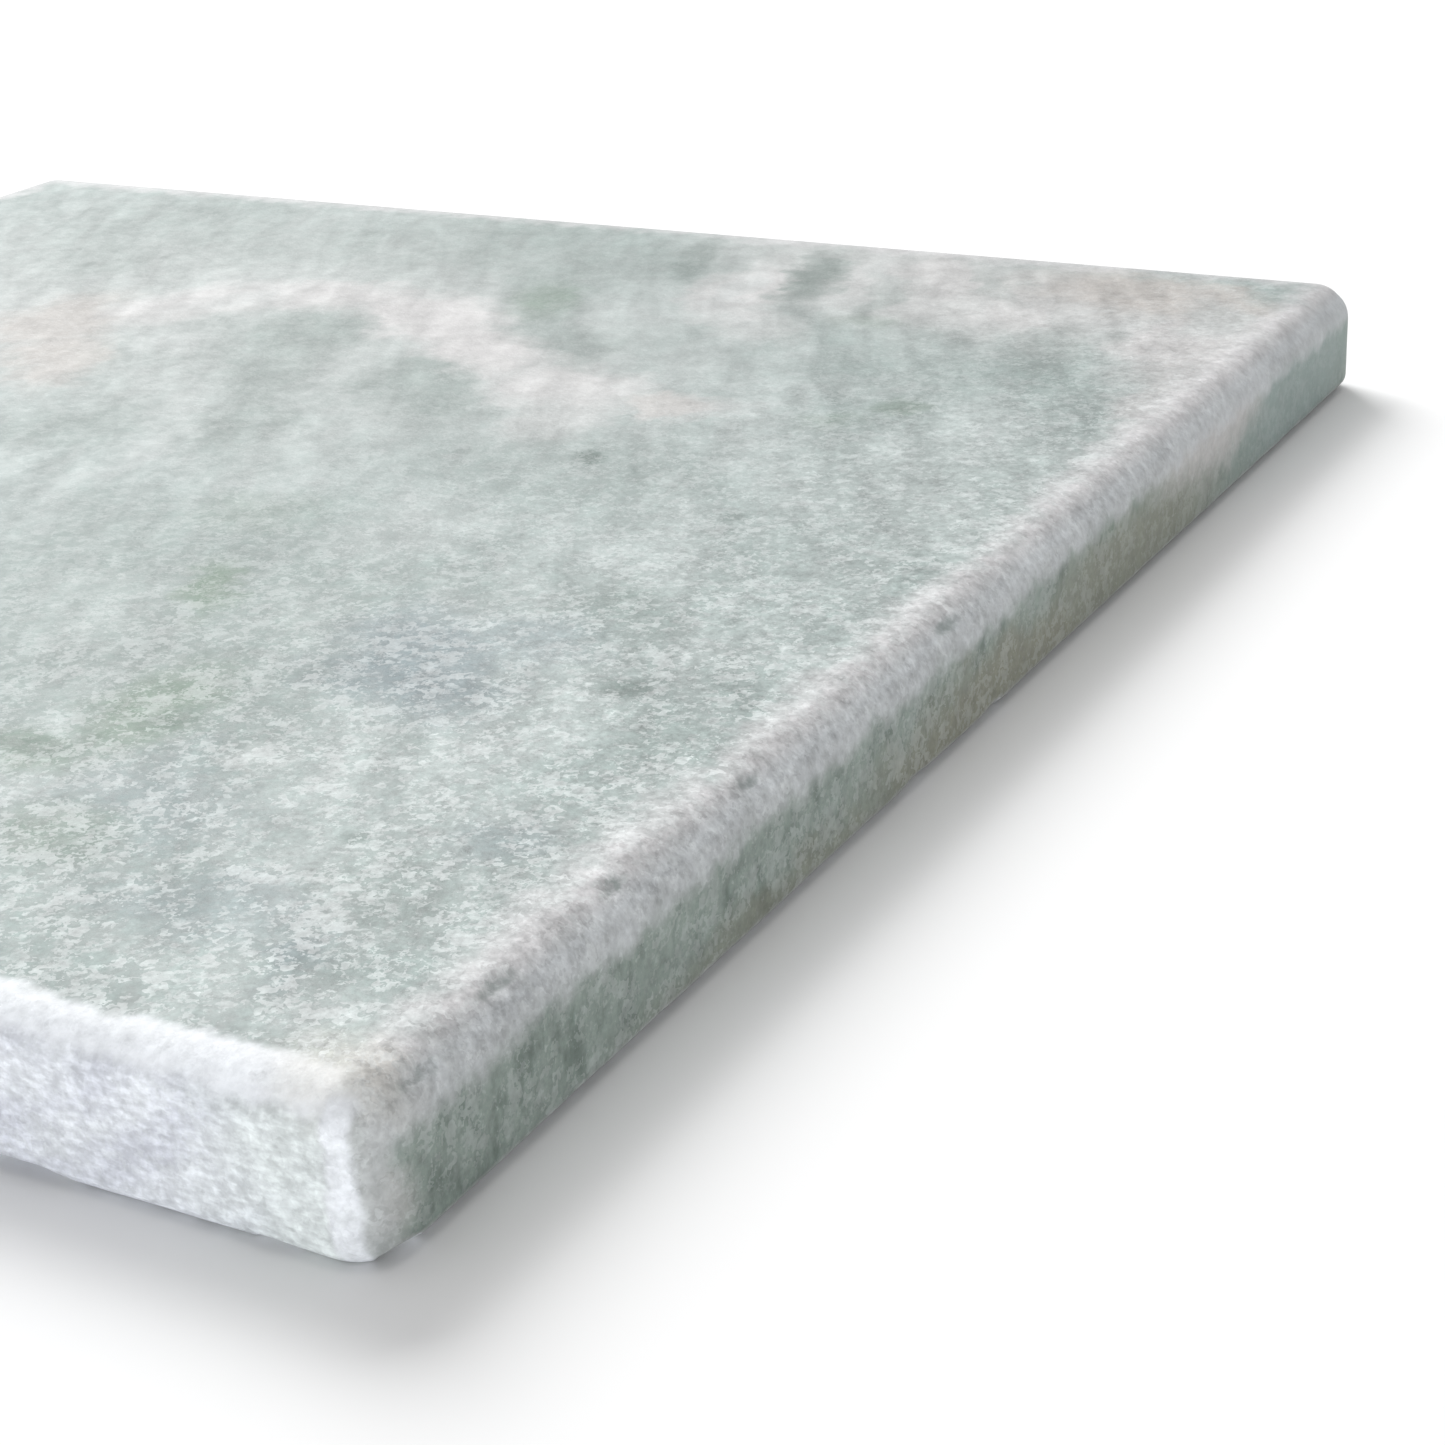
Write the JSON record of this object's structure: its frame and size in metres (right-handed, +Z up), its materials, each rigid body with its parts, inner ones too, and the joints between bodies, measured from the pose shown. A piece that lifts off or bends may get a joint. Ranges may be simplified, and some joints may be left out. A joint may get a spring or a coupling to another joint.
{
  "type": "granite slab",
  "caption": "Thick square stone slab with a flat honed working face, rounded top rim and corners, used as a firm base for tooling and stamping leather.",
  "frame": {"origin": "centre of the resting face, on the surface that the slab lies on", "axes": "+X along the front edge to the right, +Y from the front edge to the back edge, +Z up through the thickness"},
  "size_m": [0.3048, 0.3048, 0.0191],
  "materials": {
    "stone": "honed matt face with softly tumbled rims"
  },
  "bodies": {
    "root": {"stone_slab": "stone"}
  },
  "joints": []
}
